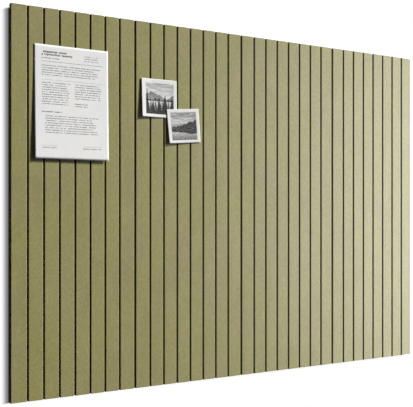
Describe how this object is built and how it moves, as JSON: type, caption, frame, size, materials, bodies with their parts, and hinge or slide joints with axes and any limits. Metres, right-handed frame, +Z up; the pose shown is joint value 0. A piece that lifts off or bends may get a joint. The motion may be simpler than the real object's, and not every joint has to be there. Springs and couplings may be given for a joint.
{
  "type": "felt bulletin board",
  "caption": "Wall-hung felt pin board with vertical grooves between flat ribs, hanging on interlocking rails, with a notice sheet and photo prints held on by hook dots.",
  "frame": {"origin": "middle of the wall rail's back face, on the wall plane", "axes": "+X along the board to the right as seen from the room, +Y into the wall, +Z up"},
  "size_m": [1.4, 0.0267, 1],
  "materials": {
    "olive_felt": "matte",
    "black_felt": "matte",
    "black_fibreboard": "matte",
    "aluminium": "satin",
    "zinc_steel": "satin",
    "rubber": "matte",
    "paper": "matte",
    "print_paper": "satin",
    "hook_tape": "matte"
  },
  "bodies": {
    "wall_rail": {"wall_rail": "aluminium"},
    "board": {"felt_strip_01": "olive_felt", "felt_strip_02": "olive_felt", "felt_strip_03": "olive_felt", "felt_strip_04": "olive_felt", "felt_strip_05": "olive_felt", "felt_strip_06": "olive_felt", "felt_strip_07": "olive_felt", "felt_strip_08": "olive_felt", "felt_strip_09": "olive_felt", "felt_strip_10": "olive_felt", "felt_strip_11": "olive_felt", "felt_strip_12": "olive_felt", "felt_strip_13": "olive_felt", "felt_strip_14": "olive_felt", "felt_strip_15": "olive_felt", "felt_strip_16": "olive_felt", "felt_strip_17": "olive_felt", "felt_strip_18": "olive_felt", "felt_strip_19": "olive_felt", "felt_strip_20": "olive_felt", "felt_strip_21": "olive_felt", "felt_strip_22": "olive_felt", "felt_strip_23": "olive_felt", "felt_strip_24": "olive_felt", "felt_strip_25": "olive_felt", "felt_strip_26": "olive_felt", "felt_strip_27": "olive_felt", "felt_strip_28": "olive_felt", "felt_strip_29": "olive_felt", "felt_strip_30": "olive_felt", "felt_strip_31": "olive_felt", "felt_strip_32": "olive_felt", "felt_core_1": "black_felt", "felt_core_2": "black_felt", "felt_core_3": "black_felt", "felt_core_4": "black_felt", "backing_board": "black_fibreboard", "board_rail": "aluminium", "board_rail_screw_1": "zinc_steel", "board_rail_screw_2": "zinc_steel", "board_rail_screw_3": "zinc_steel", "board_rail_screw_4": "zinc_steel", "board_rail_screw_5": "zinc_steel", "board_rail_screw_6": "zinc_steel", "lower_spacer_left": "rubber", "lower_spacer_right": "rubber"},
    "notice_sheet": {"notice_sheet": "paper", "notice_dot_1": "hook_tape", "notice_dot_2": "hook_tape", "notice_dot_3": "hook_tape"},
    "photo_print_upper": {"photo_print_upper": "print_paper", "upper_print_dot_1": "hook_tape", "upper_print_dot_2": "hook_tape", "upper_print_dot_3": "hook_tape"},
    "photo_print_lower": {"photo_print_lower": "print_paper", "lower_print_dot_1": "hook_tape", "lower_print_dot_2": "hook_tape", "lower_print_dot_3": "hook_tape"}
  },
  "joints": [
    {"name": "board_lift", "type": "slide", "parent": "wall_rail", "child": "board", "axis": [0, 0, 1], "range_m": [0, 0.015]},
    {"name": "notice_pull", "type": "slide", "parent": "board", "child": "notice_sheet", "axis": [0, -1, 0], "range_m": [0, 0.06]},
    {"name": "upper_print_pull", "type": "slide", "parent": "board", "child": "photo_print_upper", "axis": [0, -1, 0], "range_m": [0, 0.06]},
    {"name": "lower_print_pull", "type": "slide", "parent": "photo_print_upper", "child": "photo_print_lower", "axis": [0, -1, 0], "range_m": [0, 0.06]}
  ]
}
